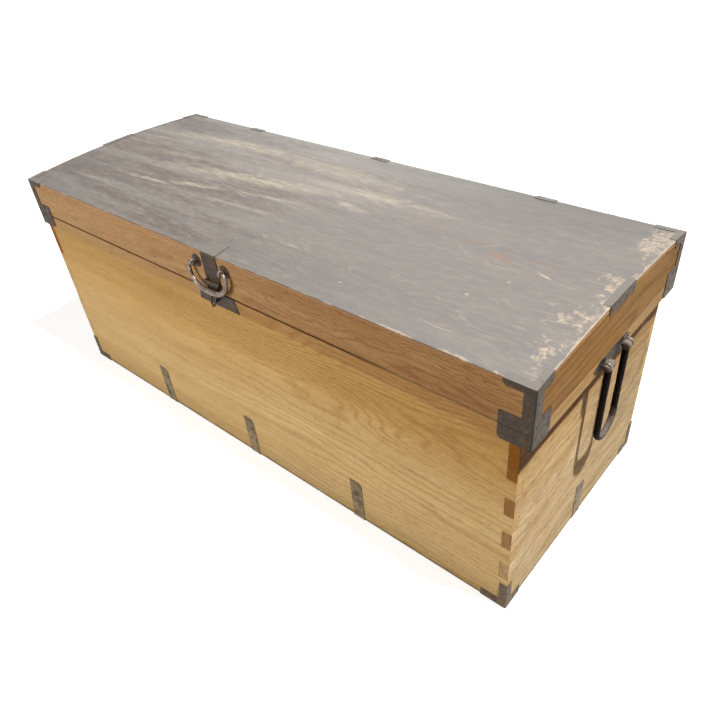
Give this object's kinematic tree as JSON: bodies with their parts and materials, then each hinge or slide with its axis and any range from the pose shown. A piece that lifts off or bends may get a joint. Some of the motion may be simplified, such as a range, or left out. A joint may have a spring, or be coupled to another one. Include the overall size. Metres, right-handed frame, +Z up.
{
  "type": "long wooden storage chest",
  "caption": "Long wooden storage chest with a low arched hinged lid, finger-jointed corners, nailed iron corner mounts, a hasp with a swinging bail, and a carrying bail on each end",
  "frame": {"origin": "centre of the flat underside that the chest stands on", "axes": "X runs along the length to the right end, -Y is the front with the hasp, +Z is up"},
  "size_m": [1.5572, 0.6094, 0.6005],
  "materials": {
    "front_wood": "worn honey-brown softwood with a faded clear finish",
    "end_wood": "plain sun-faded softwood with bold grain",
    "lid_wood": "worn orange-brown softwood with a faded clear finish",
    "lid_lacquer": "dark lacquer weathered to grey, worn through to the wood in streaks",
    "sheet_iron": "thin wrought sheet with a dark grey-brown patina",
    "dark_iron": "forged bar, blackened, rubbed grey where it is handled"
  },
  "bodies": {
    "chest": {"front_board": "front_wood", "rear_board": "front_wood", "left_end_board": "end_wood", "right_end_board": "end_wood", "bottom_board": "end_wood", "left_end_batten": "end_wood", "right_end_batten": "end_wood", "front_left_top_iron": "sheet_iron", "front_right_top_iron": "sheet_iron", "rear_left_top_iron": "sheet_iron", "rear_right_top_iron": "sheet_iron", "front_left_base_iron": "sheet_iron", "front_right_base_iron": "sheet_iron", "rear_left_base_iron": "sheet_iron", "rear_right_base_iron": "sheet_iron", "front_left_strap": "sheet_iron", "front_centre_strap": "sheet_iron", "front_right_strap": "sheet_iron", "rear_left_strap": "sheet_iron", "rear_centre_strap": "sheet_iron", "rear_right_strap": "sheet_iron", "left_end_strap": "sheet_iron", "right_end_strap": "sheet_iron", "lock_plate": "sheet_iron", "lock_staple": "dark_iron", "left_hinge_lower_leaf": "sheet_iron", "centre_hinge_lower_leaf": "sheet_iron", "right_hinge_lower_leaf": "sheet_iron", "hinge_pins": "dark_iron", "left_pole_plate": "dark_iron", "right_pole_plate": "dark_iron", "left_pole_eyes": "sheet_iron", "right_pole_eyes": "sheet_iron"},
    "lid": {"lid_front_rim": "lid_wood", "lid_rear_rim": "lid_wood", "lid_left_rim": "lid_wood", "lid_right_rim": "lid_wood", "lid_top": "lid_lacquer", "lid_left_rib": "lid_wood", "lid_right_rib": "lid_wood", "front_left_lid_iron": "sheet_iron", "front_right_lid_iron": "sheet_iron", "rear_left_lid_iron": "sheet_iron", "rear_right_lid_iron": "sheet_iron", "lid_left_strap": "sheet_iron", "lid_right_strap": "sheet_iron", "hasp_strap": "sheet_iron", "hasp_pin": "dark_iron", "left_rosette": "dark_iron", "right_rosette": "dark_iron", "left_bail_eye": "dark_iron", "right_bail_eye": "dark_iron", "left_hinge_upper_leaf": "sheet_iron", "centre_hinge_upper_leaf": "sheet_iron", "right_hinge_upper_leaf": "sheet_iron"},
    "front_bail": {"front_bail": "dark_iron"},
    "hasp_tongue": {"hasp_tongue": "sheet_iron"},
    "left_pole_bail": {"left_pole_bail": "dark_iron"},
    "right_pole_bail": {"right_pole_bail": "dark_iron"}
  },
  "joints": [
    {"name": "lid_hinge", "type": "hinge", "parent": "chest", "child": "lid", "pos_m": [0, 0.2936, 0.491], "axis": [-1, 0, 0], "range_deg": [0, 100]},
    {"name": "front_bail_swing", "type": "hinge", "parent": "lid", "child": "front_bail", "pos_m": [0, -0.2987, 0.556], "axis": [-1, 0, 0], "range_deg": [0, 100]},
    {"name": "hasp_swing", "type": "hinge", "parent": "lid", "child": "hasp_tongue", "pos_m": [0, -0.2941, 0.515], "axis": [-1, 0, 0], "range_deg": [0, 100]},
    {"name": "left_pole_bail_swing", "type": "hinge", "parent": "chest", "child": "left_pole_bail", "pos_m": [-0.7688, 0, 0.475], "axis": [0, 1, 0], "range_deg": [0, 180]},
    {"name": "right_pole_bail_swing", "type": "hinge", "parent": "chest", "child": "right_pole_bail", "pos_m": [0.7688, 0, 0.475], "axis": [0, -1, 0], "range_deg": [0, 180]}
  ],
  "couplings": [
    {"joint": "hasp_swing", "follows": "front_bail_swing", "ratio": 1}
  ]
}
